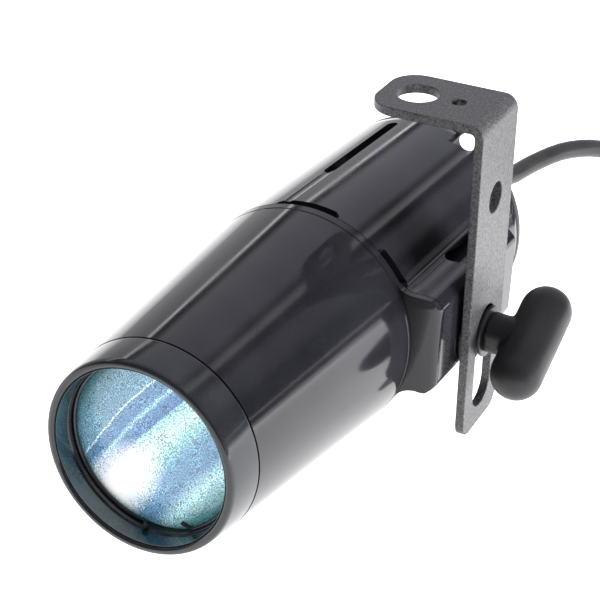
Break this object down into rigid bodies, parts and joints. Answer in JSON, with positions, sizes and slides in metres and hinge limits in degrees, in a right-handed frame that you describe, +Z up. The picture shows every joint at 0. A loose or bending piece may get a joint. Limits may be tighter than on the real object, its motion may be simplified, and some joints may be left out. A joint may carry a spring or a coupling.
{
  "type": "par can light",
  "caption": "Small LED par can with a slotted hanging bracket, a T-bar clamping knob, a recessed round lens and a mains cord from its rear cap.",
  "frame": {"origin": "centre of the large hanging hole, on the top face of the bracket", "axes": "+Z up along the hanging leg, beam towards -Y and 3.85 degrees up at rest, +X from the tube towards the knob"},
  "size_m": [0.1746, 0.3965, 0.1171],
  "materials": {
    "gloss_black": "glossy moulded black",
    "satin_black": "satin moulded black",
    "powder_black": "fine-textured black powder coat on steel",
    "knob_black": "matt soft-touch black plastic",
    "rubber_black": "matt black rubber",
    "cord_grey": "dark grey satin rubber sheath",
    "lens_glass": "blue-green coated frosted glass",
    "clear_plastic": "clear moulded optic",
    "steel": "zinc-plated steel",
    "brass": "turned brass",
    "aluminium": "milled aluminium",
    "board_green": "green solder resist",
    "board_white": "white solder resist",
    "led_yellow": "phosphor under silicone",
    "copper": "enamelled copper winding",
    "nylon_white": "off-white nylon",
    "can_blue": "shrink sleeve over an aluminium can"
  },
  "bodies": {
    "bracket": {"bracket": "powder_black"},
    "slot_slider": {"slot_bushing": "satin_black"},
    "lamp": {"front_ring": "satin_black", "lens": "lens_glass", "lens_gasket": "rubber_black", "lens_snap_ring": "steel", "front_shell": "gloss_black", "rear_shell": "gloss_black", "ear_insert": "brass", "collimator_optic": "clear_plastic", "optic_holder": "satin_black", "led_emitter": "led_yellow", "led_board": "board_white", "heat_sink": "aluminium", "driver_board": "board_green", "transformer": "nylon_white", "terminal_block": "nylon_white", "capacitor_1": "can_blue", "capacitor_2": "can_blue", "capacitor_3": "can_blue", "choke": "copper", "rear_cap": "satin_black", "cap_screw_1": "steel", "cap_screw_2": "steel", "cap_screw_3": "steel", "gland_nut": "satin_black", "strain_relief": "rubber_black", "power_cord": "cord_grey", "cord_coil": "cord_grey", "cord_tail": "cord_grey", "mains_plug": "satin_black", "plug_pin_1": "steel", "plug_pin_2": "steel"},
    "knob_washer": {"thrust_washer": "satin_black"},
    "knob": {"knob_grip": "knob_black", "knob_stud": "steel"}
  },
  "joints": [
    {"name": "slot_slide", "type": "slide", "parent": "bracket", "child": "slot_slider", "axis": [0, 0, 1], "range_m": [-0.021, 0.0018]},
    {"name": "lamp_tilt", "type": "hinge", "parent": "slot_slider", "child": "lamp", "pos_m": [-0.02445, 0, -0.0761], "axis": [1, 0, 0], "range_deg": [-42, 48]},
    {"name": "knob_travel", "type": "slide", "parent": "slot_slider", "child": "knob_washer", "axis": [1, 0, 0], "range_m": [0, 0.0025]},
    {"name": "knob_turn", "type": "hinge", "parent": "knob_washer", "child": "knob", "pos_m": [0.043, 0, -0.0761], "axis": [1, 0, 0], "range_deg": [0, 720]}
  ],
  "couplings": [
    {"joint": "knob_turn", "follows": "knob_travel", "rad_per_m": 5026.5}
  ]
}
